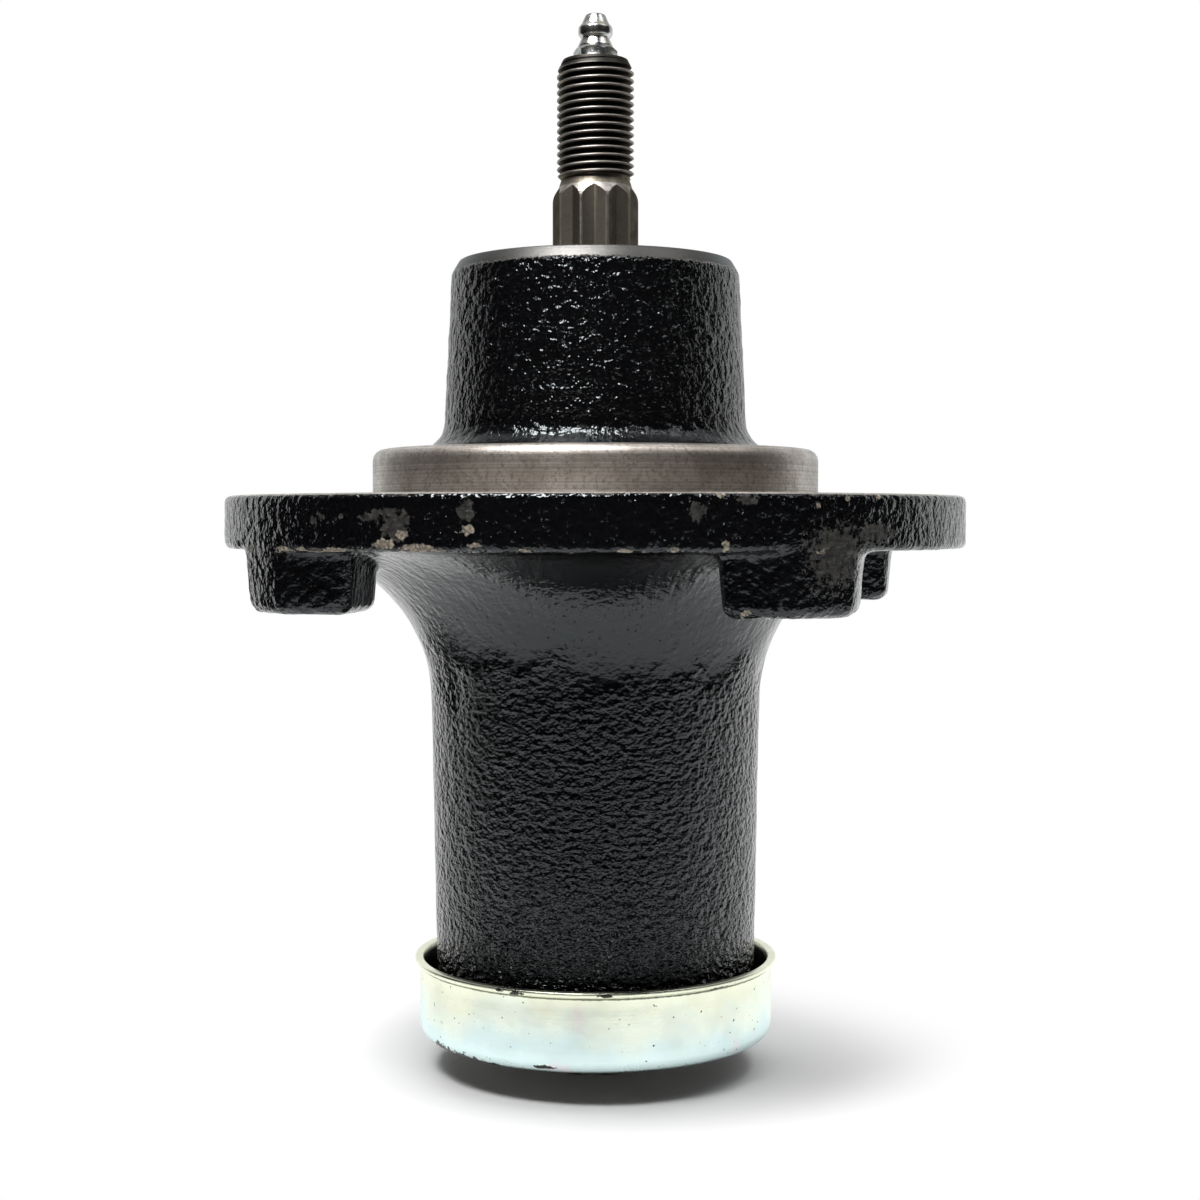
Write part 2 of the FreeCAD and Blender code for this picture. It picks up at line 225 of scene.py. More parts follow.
def viewPlace(tree, place):
    # degrees round the axis from the photographed side, and height in mm
    right = addNode(tree, "ShaderNodeVectorMath", {0: place, 1: rightOfView}, operation="DOT_PRODUCT")
    front = addNode(tree, "ShaderNodeVectorMath", {0: place, 1: towardsCamera}, operation="DOT_PRODUCT")
    turn = calc(tree, "ARCTAN2", right.outputs["Value"], front.outputs["Value"])
    height = addNode(tree, "ShaderNodeSeparateXYZ", {0: place}).outputs[2]
    inputs = {0: calc(tree, "MULTIPLY", turn, 180 / math.pi), 1: calc(tree, "DIVIDE", height, mm)}
    return addNode(tree, "ShaderNodeCombineXYZ", inputs).outputs[0]


def markedPlaces(tree, flat, ragged, marks):
    # marks: (degrees, height, half width in degrees, half height), each an oval with a ragged edge
    nearest = 9.0
    for turn, height, width, tall in marks:
        apart = addNode(tree, "ShaderNodeVectorMath", {0: flat, 1: (turn, height, 0)}, operation="SUBTRACT")
        inputs = {0: apart.outputs[0], 1: (1 / width, 1 / tall, 0)}
        apart = addNode(tree, "ShaderNodeVectorMath", inputs, operation="MULTIPLY")
        apart = addNode(tree, "ShaderNodeVectorMath", {0: apart.outputs[0]}, operation="LENGTH")
        nearest = calc(tree, "MINIMUM", apart.outputs["Value"], nearest)
    return ease(tree, calc(tree, "ADD", nearest, ragged), 1.06, 0.94)


def turningLines(tree, radius, height, size):
    # grain drawn out round the axis, as a lathe tool leaves it
    rings = addNode(tree, "ShaderNodeCombineXYZ", {0: radius, 1: height}).outputs[0]
    return addNode(tree, "ShaderNodeTexNoise", {"Vector": rings, "Scale": 1 / size, "Detail": 2.0}).outputs[0]


def brushed(tree, place, height):
    # grain drawn out along the axis, as thick paint runs
    around = addNode(tree, "ShaderNodeVectorMath", {0: place, 1: (1, 1, 0)}, operation="MULTIPLY").outputs[0]
    around = addNode(tree, "ShaderNodeVectorMath", {0: around}, operation="NORMALIZE").outputs[0]
    lifted = addNode(tree, "ShaderNodeCombineXYZ", {2: calc(tree, "MULTIPLY", height, 0.011)}).outputs[0]
    spread = addNode(tree, "ShaderNodeVectorMath", {0: around, 1: lifted}, operation="ADD").outputs[0]
    return addNode(tree, "ShaderNodeTexNoise", {"Vector": spread, "Scale": 34.0, "Detail": 3.0}).outputs[0]


# Studio: white floor and tent, open and dark on the camera's side

studio = {
    "floorRadius": 2.5,  # m
    "floorColour": (0.88, 0.88, 0.88, 1),
    "openTurn": -6,  # degrees that the tent's dark side is turned, below 0 to the camera's left
    "openEdge": (-0.36, -0.66),  # cosines between which the tent goes from dark to bright
    "floorTurn": -9,
    "floorEdge": (-0.3, -0.66),
    "glowRing": (0.042, 0.082),  # m from the axis, where the floor's shadow gives way to white
    "sheenRing": (0.034, 0.06),  # where the floor starts to show in what is glossy
    "sideReach": (0.11, 0.4),  # m, where that fades to each side and ahead
    "frontReach": (0.09, 0.22),
    "nearSheen": (1.06, 0.05),
    "backSheen": 1.15,
    "leftEdge": (0.5, 0.9),  # cosines, where it is shaded on the left
    "leftRing": (0.1, 0.2),
    "leftShade": 0.9,
    "tentLight": 0.9,
    "frontLight": 0.014,
    "topLight": 0.5,
    "lamps": [
        # name, degrees right of the camera, elevation, distance m, width m, height m, watts
        ("keyBox", -33, 64, 1.1, 0.52, 0.45, 15),
        ("sideBox", 75, 55, 1.2, 0.5, 0.5, 1.5),
        ("topFill", 170, 80, 1.2, 1.4, 1.4, 23),
    ],
}


def lightRays(tree):
    path = addNode(tree, "ShaderNodeLightPath")
    glossy = calc(tree, "MAXIMUM", path.outputs["Is Glossy Ray"], path.outputs["Is Transmission Ray"])
    direct = calc(tree, "LESS_THAN", path.outputs["Diffuse Depth"], 0.5)
    return path.outputs["Is Camera Ray"], calc(tree, "MULTIPLY", glossy, direct)


def makeWorld():
    world = bpy.data.worlds.new("tent")
    world.use_nodes = True
    bpy.context.scene.world = world
    tree = world.node_tree
    background = tree.nodes["Background"]
    background.inputs["Color"].default_value = (1, 1, 1, 1)
    cameraRay = lightRays(tree)[0]
    direction = addNode(tree, "ShaderNodeTexCoord").outputs["Generated"]
    openSide = Matrix.Rotation(math.radians(studio["openTurn"]), 3, "Z") @ towardsCamera
    front = addNode(tree, "ShaderNodeVectorMath", {0: direction, 1: openSide}, operation="DOT_PRODUCT")
    height = addNode(tree, "ShaderNodeSeparateXYZ", {0: direction}).outputs[2]
    back = ease(tree, front.outputs["Value"], *studio["openEdge"], studio["frontLight"], studio["tentLight"])
    back = calc(tree, "MULTIPLY", back, ease(tree, height, 0.4, 0.75, 1.0, 0.25))
    top = ease(tree, height, 0.45, 0.8, 0.0, studio["topLight"])
    top = calc(tree, "MULTIPLY", top, ease(tree, front.outputs["Value"], 0.15, -0.3))
    tent = calc(tree, "MAXIMUM", back, top)
    tree.links.new(calc(tree, "MAXIMUM", tent, cameraRay), background.inputs["Strength"])


def makeFloor():
    bm = bmesh.new()
    bmesh.ops.create_circle(bm, cap_ends=True, segments=96, radius=studio["floorRadius"])
    bmesh.ops.translate(bm, verts=bm.verts, vec=up * -0.05 * mm)
    floor = newObject("studioFloor", bm)
    material, tree, shader, place = newMaterial("floorWhite", 0.0, 1.0)
    shader.inputs["Base Color"].default_value = studio["floorColour"]
    shader.inputs["Specular IOR Level"].default_value = 0.0
    cameraRay, glossyRay = lightRays(tree)
    distance = addNode(tree, "ShaderNodeVectorMath", {0: place}, operation="LENGTH").outputs["Value"]
    front = addNode(tree, "ShaderNodeVectorMath", {0: place, 1: towardsCamera}, operation="DOT_PRODUCT")
    far = ease(tree, distance, *studio["glowRing"])
    clear = ease(tree, distance, *studio["sheenRing"])
    openSide = Matrix.Rotation(math.radians(studio["floorTurn"]), 3, "Z") @ towardsCamera
    facing = addNode(tree, "ShaderNodeVectorMath", {0: place, 1: openSide}, operation="DOT_PRODUCT")
    facing = calc(tree, "DIVIDE", facing.outputs["Value"], distance)
    behind = ease(tree, facing, *studio["floorEdge"], 0.0, studio["backSheen"])
    aside = ease(tree, distance, *studio["sideReach"], *studio["nearSheen"])
    ahead = ease(tree, front.outputs["Value"], *studio["frontReach"], *studio["nearSheen"])
    left = addNode(tree, "ShaderNodeVectorMath", {0: place, 1: -rightOfView}, operation="DOT_PRODUCT")
    left = calc(tree, "DIVIDE", left.outputs["Value"], distance)
    left = ease(tree, left, *studio["leftEdge"], 0.0, studio["leftShade"])
    left = calc(tree, "MULTIPLY", left, ease(tree, distance, *studio["leftRing"]))
    near = calc(tree, "MULTIPLY", calc(tree, "MINIMUM", aside, ahead), calc(tree, "SUBTRACT", 1.0, left))
    edge = calc(tree, "MAXIMUM", behind, near)
    glow = addNode(tree, "ShaderNodeEmission", {"Strength": 1.0}).outputs[0]
    sheen = addNode(tree, "ShaderNodeEmission", {"Strength": edge}).outputs[0]
    lit = addNode(tree, "ShaderNodeMixShader", {0: calc(tree, "MULTIPLY", far, cameraRay),
                                                1: shader.outputs[0], 2: glow}).outputs[0]
    seen = addNode(tree, "ShaderNodeMixShader", {0: calc(tree, "MULTIPLY", glossyRay, clear),
                                                 1: lit, 2: sheen}).outputs[0]
    tree.links.new(seen, tree.nodes["Material Output"].inputs["Surface"])
    floor.data.materials.append(material)


def makeLamps():
    middle = up * 100 * mm
    for name, turn, elevation, distance, width, height, watts in studio["lamps"]:
        data = bpy.data.lights.new(name, "AREA")
        data.shape = "RECTANGLE"
        data.size = width
        data.size_y = height
        data.energy = watts
        lamp = bpy.data.objects.new(name, data)
        azimuth = viewTurn + math.radians(turn)
        rise = math.radians(elevation)
        flat = Vector((math.sin(azimuth), -math.cos(azimuth), 0))
        direction = flat * math.cos(rise) + up * math.sin(rise)
        lamp.location = middle + direction * distance
        lamp.rotation_euler = direction.to_track_quat("Z", "Y").to_euler()
        lamp.visible_glossy = name != "topFill"  # it only clears the floor of grey
        bpy.context.scene.collection.objects.link(lamp)


makeWorld()
makeFloor()
makeLamps()
print("studio ready")


# Housing: one casting, painted all over but for its turned faces

housingLow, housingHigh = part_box("spindle_housing")
housing = {
    "floor": housingLow.z / mm,
    "top": housingHigh.z / mm,
    "flangeRadius": housingHigh.x / mm,
    "flangeFloor": 96.6,
    "flangeTop": 106.0,
    "flangeEdge": 1.1,
    "barrelFoot": 29.5,
    "barrelEdge": 1.5,
    "waist": 31.1,
    "flare": 27.6,
    "pilotRadius": 41.275,
    "pilotTop": 114.6,
    "pilotEdge": 2.1,
    "bossFoot": 28.2,
    "bossFillet": 5.0,
    "bossRim": 26.6,
    "bossChamfer": 1.4,
    "bossChamferHeight": 2.4,
    "upperSeat": 20.01,
    "upperSeatDepth": 15.0,
    "lowerSeat": 23.51,
    "lowerSeatDepth": 17.6,
    "boreChamfer": 0.8,
    "shoulderWidth": 3.0,
    "shoulderLength": 4.0,
    "cavityRelief": 1.5,
    "cavitySlope": 2.0,
    "steps": 320,
    "paintRow": 0.85,  # mm between rings where the paint is lumpy
    "bossRow": 0.6,
    "bareRow": 5.0,
    "lugFace": 52.6,
    "lugLength": 22.4,
    "lugHeight": 10.7,
    "lugDraft": 5.0,
    "lugCorner": 3.0,
    "lugInnerCorner": 7.5,
    "lugBottomEdge": 2.0,
    "lugRimSetback": 0.2,
    "lugGrid": 1.0,
    "rootBlend": 2.4,  # mm each way that a lug's root is rounded out
    "boltCircle": 57.15,
    "boltHole": 4.0,
    "boltDrill": 40.0,
    "seamAngle": -0.35,  # radians, hollow edges are below it
    "blendRounds": 14,
    "lumpyRadius": 56.0,
    # lumps: texture, vertex group, size, depth
    "lumps": [("castWaves", "painted", 6.0, 0.2), ("paintLumps", "lumpy", 1.8, 0.22)],
}


def isPainted(radius, height):
    h = housing
    onPilot = height > h["flangeTop"] - 0.3 and radius > h["bossFoot"] + h["bossFillet"]
    return radius > h["lowerSeat"] + 1.5 and height < h["top"] - h["bossChamferHeight"] and not onPilot


def housingOutline():
    h = housing
    chamferFloor = h["top"] - h["bossChamferHeight"]
    lowerSeat, upperSeat = h["lowerSeat"], h["upperSeat"]
    lowerStop = h["floor"] + h["lowerSeatDepth"]
    lowerShoulder = lowerStop + h["shoulderLength"]
    upperStop = h["top"] - h["upperSeatDepth"]
    upperShoulder = upperStop - h["shoulderLength"]
    return [
        (lowerSeat + h["boreChamfer"], h["floor"], 0),
        (h["barrelFoot"], h["floor"], h["barrelEdge"]),
        (h["waist"], h["flangeFloor"], h["flare"]),
        (h["flangeRadius"], h["flangeFloor"], h["flangeEdge"]),
        (h["flangeRadius"], h["flangeTop"], h["flangeEdge"]),
        (h["pilotRadius"], h["flangeTop"], 0.4),
        (h["pilotRadius"], h["pilotTop"], h["pilotEdge"]),
        (h["bossFoot"], h["pilotTop"], h["bossFillet"]),
        (h["bossRim"], chamferFloor, 0.4),
        (h["bossRim"] - h["bossChamfer"], h["top"], 0.3),
        (upperSeat + h["boreChamfer"], h["top"], 0),
        (upperSeat, h["top"] - h["boreChamfer"], 0),
        (upperSeat, upperStop, 0),
        (upperSeat - h["shoulderWidth"], upperStop, 0),
        (upperSeat - h["shoulderWidth"], upperShoulder, 0),
        (upperSeat - h["cavityRelief"], upperShoulder - h["cavitySlope"], 0),
        (lowerSeat - h["cavityRelief"], lowerShoulder + h["cavitySlope"], 0),
        (lowerSeat - h["shoulderWidth"], lowerShoulder, 0),
        (lowerSeat - h["shoulderWidth"], lowerStop, 0),
        (lowerSeat, lowerStop, 0),
        (lowerSeat, h["floor"] + h["boreChamfer"], 0),
    ]


def housingRow(radius, height):
    if not isPainted(radius, height):
        return housing["bareRow"]
    return housing["bossRow"] if height > housing["flangeTop"] else housing["paintRow"]


def makeLugs():
    h = housing
    near = h["lugFace"] - h["lugLength"]
    far = h["lugFace"]
    rim = h["flangeRadius"] - h["lugRimSetback"]
    root = h["flangeFloor"] + h["flangeEdge"]
    floor = h["flangeFloor"] - h["lugHeight"]
    side = math.acos(far / rim)
    bm = bmesh.new()
    plan = [(near, near), (far, near)]
    for step in range(13):
        angle = side + (math.pi / 2 - 2 * side) * step / 12
        plan.append((rim * math.cos(angle), rim * math.sin(angle)))
    plan.append((near, far))
    verts = [bm.verts.new((x * mm, y * mm, root * mm)) for x, y in plan]
    bm.faces.new(verts)
    for vert in (verts[0], verts[1], verts[2], verts[-2], verts[-1]):
        corner = h["lugInnerCorner"] if vert == verts[0] else h["lugCorner"]
        bmesh.ops.bevel(bm, geom=[vert], offset=corner * mm, offset_type="OFFSET", segments=5,
                        profile=0.5, affect="VERTICES", material=-1)
    made = bmesh.ops.extrude_face_region(bm, geom=bm.faces[:])
    lower = [item for item in made["geom"] if isinstance(item, bmesh.types.BMVert)]
    narrowing = 1 - 2 * (root - floor) * math.tan(math.radians(h["lugDraft"])) / h["lugLength"]
    middle = Vector(((near + far) / 2, (near + far) / 2, 0)) * mm
    bmesh.ops.scale(bm, verts=lower, vec=(narrowing, narrowing, 1), space=Matrix.Translation(-middle))
    bmesh.ops.translate(bm, verts=lower, vec=up * (floor - root) * mm)
    bottom = [edge for edge in bm.edges if all(vert in lower for vert in edge.verts)]
    bmesh.ops.bevel(bm, geom=bottom, offset=h["lugBottomEdge"] * mm, offset_type="OFFSET", segments=4,
                    profile=0.5, affect="EDGES", material=-1)
    for axis in (Vector((1, 0, 0)), Vector((0, 1, 0)), up):
        places = [vert.co.dot(axis) for vert in bm.verts]
        place = min(places) + h["lugGrid"] * mm
        while place < max(places):
            everything = bm.verts[:] + bm.edges[:] + bm.faces[:]
            bmesh.ops.bisect_plane(bm, geom=everything, plane_co=axis * place, plane_no=axis)
            place += h["lugGrid"] * mm
    one = closed(bm)
    lugs = bmesh.new()
    for quarter in range(4):
        mesh = bpy.data.meshes.new("lug")
        one.to_mesh(mesh)
        mesh.transform(Matrix.Rotation(quarter * math.pi / 2, 4, "Z"))
        lugs.from_mesh(mesh)
        bpy.data.meshes.remove(mesh)
    one.free()
    return newObject("lugs", lugs)


def makeBoltHoles():
    h = housing
    bm = bmesh.new()
    for quarter in range(4):
        angle = math.radians(45 + 90 * quarter)
        middle = Vector((math.cos(angle), math.sin(angle), 0)) * h["boltCircle"] + up * h["flangeFloor"]
        drill(bm, h["boltHole"], h["boltDrill"], Matrix.Translation(middle * mm))
    return newObject("boltHoles", bm)


def blendLugRoots(piece):
    # the sharp inner edge round each lug is smoothed to the cast fillet
    h = housing
    bm = bmesh.new()
    bm.from_mesh(piece.data)
    low = (h["flangeFloor"] - h["lugHeight"] + 0.5) * mm
    high = (h["flangeFloor"] + h["flangeEdge"]) * mm
    inner = (h["waist"] + 1) * mm
    seam = []
    for edge in bm.edges:
        middle = (edge.verts[0].co + edge.verts[1].co) / 2
        hollow = edge.calc_face_angle_signed(0) < h["seamAngle"]
        if low < middle.z < high and middle.xy.length > inner and hollow:
            seam.append(middle.copy())
    tree = kdtree.KDTree(len(seam))
    for index, place in enumerate(seam):
        tree.insert(place, index)
    tree.balance()
    close = [vert for vert in bm.verts if tree.find(vert.co)[2] < h["rootBlend"] * mm]
    bmesh.ops.remove_doubles(bm, verts=close, dist=0.2 * mm)
    close = [vert for vert in bm.verts if tree.find(vert.co)[2] < h["rootBlend"] * mm]
    for step in range(h["blendRounds"]):
        bmesh.ops.smooth_vert(bm, verts=close, factor=0.5, use_axis_x=True, use_axis_y=True, use_axis_z=True)
    bm.to_mesh(piece.data)
    bm.free()
    print("lug roots blended at", len(seam), "places")


def lumpPaint(piece):
    # real bumps under the paint, none on the turned faces
    painted = piece.vertex_groups.new(name="painted")
    lumpy = piece.vertex_groups.new(name="lumpy")
    for vert in piece.data.vertices:
        radius, height = vert.co.xy.length / mm, vert.co.z / mm
        if isPainted(radius, height):
            painted.add([vert.index], 1.0, "REPLACE")
            if height > housing["pilotTop"] + 1 or radius > housing["lumpyRadius"]:
                lumpy.add([vert.index], 1.0, "REPLACE")
    for name, group, size, depth in housing["lumps"]:
        texture = bpy.data.textures.new(name, "CLOUDS")
        texture.noise_scale = size * mm
        texture.noise_depth = 1
        modifier = piece.modifiers.new(name, "DISPLACE")
        modifier.texture = texture
        modifier.texture_coords = "LOCAL"
        modifier.strength = depth * mm
        modifier.mid_level = 0.5
        modifier.vertex_group = group


paint = {
    "black": (0.0018, 0.0018, 0.0022, 1),
    "sheen": (0.9, 0.97, 1.0, 1),
    "bare": (0.9, 0.83, 0.77, 1),
    "stained": (0.6, 0.54, 0.48, 1),
    "line": (0.28, 0.245, 0.21, 1),
    "turned": (0.14, 0.136, 0.13, 1),
    "chip": (0.24, 0.2, 0.145, 1),
    "chipDirt": (0.09, 0.075, 0.058, 1),
    "rub": (0.034, 0.03, 0.025, 1),
    "rubDark": (0.01, 0.009, 0.008, 1),
    "gloss": 0.1,
    "bossGloss": 0.19,
    "bumpDepth": 0.7,  # mm
    # marks: degrees right of the photographed side, height, half width in degrees, half height
    "chips": [
        (-49.5, 96.9, 1.6, 0.45), (-45.0, 96.8, 1.2, 0.5), (-38.0, 96.8, 2.0, 0.4), (-29.0, 97.9, 1.5, 0.8),
        (-26.2, 99.4, 1.0, 0.6), (-24.0, 97.2, 3.0, 0.6), (-16.7, 100.1, 0.9, 0.8), (-15.8, 97.7, 1.0, 0.4),
        (-9.0, 96.8, 0.8, 0.35), (4.0, 96.8, 0.9, 0.35), (10.4, 97.0, 0.6, 0.4), (17.3, 97.6, 0.5, 0.9),
        (22.7, 86.9, 0.6, 0.5), (16.6, 105.6, 0.6, 0.5), (31.2, 104.0, 0.4, 0.5), (36.4, 105.2, 0.4, 0.5),
        (42.4, 105.4, 0.5, 0.4),
    ],
    "rubs": [
        (-42.0, 101.6, 0.6, 0.6), (-40.2, 102.2, 0.6, 0.5), (-36.4, 102.3, 0.4, 0.4),
        (-31.3, 102.0, 1.8, 0.6), (-28.3, 102.9, 2.4, 0.6), (-27.2, 100.8, 2.2, 2.1),
        (-17.0, 103.2, 1.2, 1.6), (13.5, 103.0, 1.1, 1.3), (20.5, 104.8, 1.3, 0.7),
        (34.4, 95.8, 4.4, 4.8), (42.0, 99.4, 4.0, 1.6),
    ],
}


def paintedCasting():
    h, p = housing, paint
    material, tree, shader, place = newMaterial("blackPaint", 0.0, p["gloss"], 1.55)
    shader.inputs["Specular Tint"].default_value = p["sheen"]
    radius, height = roundPlace(tree, place)
    ragged = calc(tree, "SUBTRACT", grain(tree, place, 1.0, 4.0, 0.68), 0.5)
    wavy = calc(tree, "MULTIPLY", ragged, 1.8)

    pilot = calc(tree, "MULTIPLY", ease(tree, height, h["flangeTop"] - 0.3, h["flangeTop"] - 0.2),
                 ease(tree, calc(tree, "ADD", radius, wavy), 33.0, 33.3))
    chamferFloor = h["top"] - h["bossChamferHeight"]
    rim = ease(tree, calc(tree, "ADD", height, wavy), chamferFloor + 0.1, chamferFloor + 0.4)
    bore = ease(tree, radius, h["lowerSeat"] + 1.2, h["lowerSeat"] + 1.0)
    turned = calc(tree, "MAXIMUM", rim, bore)
    bare = calc(tree, "MAXIMUM", pilot, turned)

    flat = viewPlace(tree, place)
    chipped = markedPlaces(tree, flat, calc(tree, "MULTIPLY", ragged, 2.2), p["chips"])
    edge = calc(tree, "ABSOLUTE", calc(tree, "SUBTRACT", height, (h["flangeTop"] + h["flangeFloor"]) / 2))
    edge = ease(tree, edge, h["flangeTop"] - h["flangeFloor"] - 5.4, h["flangeTop"] - h["flangeFloor"] - 4.7)
    edge = calc(tree, "MULTIPLY", edge, ease(tree, radius, h["flangeRadius"] - 1.5, h["flangeRadius"] - 0.6))
    edge = calc(tree, "MULTIPLY", edge, ease(tree, height, h["flangeFloor"] - 0.5, h["flangeFloor"] - 0.2))
    worn = calc(tree, "MULTIPLY", edge, ease(tree, grain(tree, place, 3.2, 3.0, 0.65), 0.6, 0.64))
    outer = ease(tree, radius, h["lumpyRadius"] - 5, h["lumpyRadius"] + 1)
    chipped = calc(tree, "MAXIMUM", calc(tree, "MULTIPLY", chipped, outer), worn)
    chipped = calc(tree, "MULTIPLY", chipped, calc(tree, "SUBTRACT", 1.0, bare))
    rubbed = markedPlaces(tree, flat, calc(tree, "MULTIPLY", ragged, 3.4), p["rubs"])
    rubbed = calc(tree, "MULTIPLY", rubbed, outer)

    lines = turningLines(tree, radius, height, 0.35)
    stain = grain(tree, place, 9.0, 4.0, 0.6)
    steel = blendColour(tree, ease(tree, stain, 0.35, 0.7), p["bare"], p["stained"])
    steel = blendColour(tree, ease(tree, lines, 0.3, 0.75, 0.0, 0.6), steel, p["line"])
    specks = ease(tree, grain(tree, place, 0.7, 3.0, 0.7), 0.46, 0.7, 0.0, 0.7)
    steel = blendColour(tree, specks, steel, p["line"])
    steel = blendColour(tree, turned, steel, p["turned"])
    chip = blendColour(tree, ease(tree, grain(tree, place, 0.5, 3.0), 0.36, 0.56), p["chip"], p["chipDirt"])
    rub = blendColour(tree, ease(tree, grain(tree, place, 1.0, 4.0, 0.7), 0.4, 0.6), p["rub"], p["rubDark"])
    colour = blendColour(tree, rubbed, p["black"], rub)
    colour = blendColour(tree, chipped, colour, chip)
    colour = blendColour(tree, bare, colour, steel)
    tree.links.new(colour, shader.inputs["Base Color"])
    tree.links.new(bare, shader.inputs["Metallic"])
    dull = calc(tree, "MAXIMUM", chipped, calc(tree, "MULTIPLY", rubbed, 0.6))
    rough = ease(tree, height, h["pilotTop"] - 1, h["pilotTop"], p["gloss"], p["bossGloss"])
    rough = addNode(tree, "ShaderNodeMix", {0: dull, 2: rough, 3: 0.75}).outputs[0]
    rough = addNode(tree, "ShaderNodeMix", {0: bare, 2: rough, 3: 0.44}).outputs[0]
    tree.links.new(rough, shader.inputs["Roughness"])

    boss = ease(tree, height, h["pilotTop"] + 1, h["pilotTop"] + 7, 0.4, 1.3)
    boss = calc(tree, "MULTIPLY", boss, ease(tree, height, h["pilotTop"] - 1, h["pilotTop"]))
    patchy = calc(tree, "MULTIPLY", calc(tree, "SUBTRACT", grain(tree, place, 12.0, 3.0), 0.5), 36.0)
    barrel = ease(tree, calc(tree, "ADD", height, patchy), 82.0, 66.0)
    lumpy = calc(tree, "MAXIMUM", boss, calc(tree, "MULTIPLY", outer, 0.9))
    coarseShare = calc(tree, "MAXIMUM", lumpy, ease(tree, barrel, 0, 1, 0.15, 0.5))
    fineShare = calc(tree, "MAXIMUM", calc(tree, "MULTIPLY", lumpy, 0.3), ease(tree, barrel, 0, 1, 0.22, 1.9))
    coarse = calc(tree, "MULTIPLY", grain(tree, place, 1.6, 2.0), coarseShare)
    squat = addNode(tree, "ShaderNodeVectorMath", {0: place, 1: (1, 1, 1.3)}, operation="MULTIPLY").outputs[0]
    fine = calc(tree, "MULTIPLY", grain(tree, squat, 1.3, 2.0), fineShare)
    pits = ease(tree, grain(tree, place, 0.8, 1.0), 0.3, 0.22, 0.0, 0.3)
    bumps = calc(tree, "SUBTRACT", calc(tree, "ADD", coarse, fine), pits)
    flared = calc(tree, "MULTIPLY", ease(tree, height, 74.0, 86.0), ease(tree, radius, 62.0, 50.0, 0.0, 0.3))
    bumps = calc(tree, "ADD", bumps, calc(tree, "MULTIPLY", brushed(tree, place, height), flared))
    bumps = calc(tree, "SUBTRACT", bumps, calc(tree, "MULTIPLY", chipped, 0.25))
    bumps = calc(tree, "MULTIPLY", bumps, calc(tree, "SUBTRACT", 1.0, bare))
    cut = calc(tree, "MULTIPLY", calc(tree, "ADD", lines, grain(tree, place, 0.6, 3.0, 0.7)), 0.05)
    cut = calc(tree, "MULTIPLY", cut, bare)
    tree.links.new(relief(tree, calc(tree, "ADD", bumps, cut), p["bumpDepth"]), shader.inputs["Normal"])
    return material


def makeHousing():
    piece = newObject("spindleHousing", turnedMesh(housingOutline(), housing["steps"], housingRow))
    combine(piece, makeLugs(), "UNION")
    blendLugRoots(piece)
    combine(piece, makeBoltHoles(), "DIFFERENCE")
    lumpPaint(piece)
    dress(piece, "spindle_housing", paintedCasting(), 40)
    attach(piece, "housing")


makeHousing()


# Shaft: turned steel, with a star at each end and a thread at the top

shaft = {
    "top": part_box("spindle_shaft")[1].z / mm,
    "starFloor": 146.1,
    "starTop": 163.35,
    "starRadius": 7.94,
    "starChamfer": 1.34,
    "starChamferHeight": 2.1,
    "starPoints": 10,
    "starTurn": 10.0,  # degrees to the first ridge
    "crestCut": 0.1,
    "undercut": 6.5,
    "threadFloor": 165.4,
    "threadRadius": 7.14,
    "threadRoot": 6.27,
    "threadPitch": 1.411,
    "threadSteps": 64,  # a turn
    "crestFlat": 0.05,  # of a pitch, as is the slope that wear has left above it
    "crestSlope": 0.09,
    "crestRub": 0.06,
    "endChamfer": 1.1,
    "endChamferHeight": 2.2,
    "bladeStarRadius": 11.4,
    "bladeStarTop": 6.05,
    "neck": 11.6,
    "collar": 13.5,
    "collarFloor": 7.05,
    "collarTop": 13.0,
    "lowerSeat": 10.0,
    "lowerSeatTop": 25.2,
    "waist": 8.3,
    "waistFloor": 26.7,
    "waistTop": 134.1,
    "upperSeat": 8.5,
    "upperSeatFloor": 134.7,
    "boltHole": 4.25,
    "boltDepth": 30.0,
    "gallery": 1.5,
    "crossHeight": 80.0,
    "fittingHole": 2.77,
    "fittingFloor": 181.0,
    "steps": 128,
    "starSteps": 160,
    "holeSteps": 64,
    "oil": (0.05, 0.047, 0.042, 1),
    "bright": (0.6, 0.56, 0.53, 1),
    "brightStain": (0.42, 0.4, 0.38, 1),
    "crest": (0.42, 0.39, 0.36, 1),
    "flank": (0.36, 0.32, 0.26, 1),
    "flankStain": (0.2, 0.18, 0.14, 1),
    "edgeTint": (0.5, 0.5, 0.46, 1),
}


def shaftOutline():
    s = shaft
    return [
        (0, s["bladeStarTop"], 0),
        (s["neck"], s["bladeStarTop"], 0),
        (s["neck"], s["collarFloor"], 0),
        (s["collar"], s["collarFloor"], 0.2),
        (s["collar"], s["collarTop"], 0.8),
        (s["lowerSeat"], s["collarTop"], 0),
        (s["lowerSeat"], s["lowerSeatTop"], 0),
        (s["waist"], s["waistFloor"], 0),
        (s["waist"], s["waistTop"], 0),
        (s["upperSeat"], s["upperSeatFloor"], 0),
        (s["upperSeat"], s["starFloor"], 0.15),
        (s["undercut"], s["starFloor"], 0),
        (s["undercut"], s["starTop"] - 1.0, 0),
        (s["undercut"] + 0.35, s["starTop"] - 0.4, 0),
        (s["undercut"] - 0.2, s["threadFloor"] - 0.7, 0.3),
        (s["undercut"] - 0.1, s["threadFloor"] - 0.3, 0),
        (s["undercut"] - 0.6, s["threadFloor"] - 0.1, 0),
        (0, s["threadFloor"] - 0.1, 0),
    ]


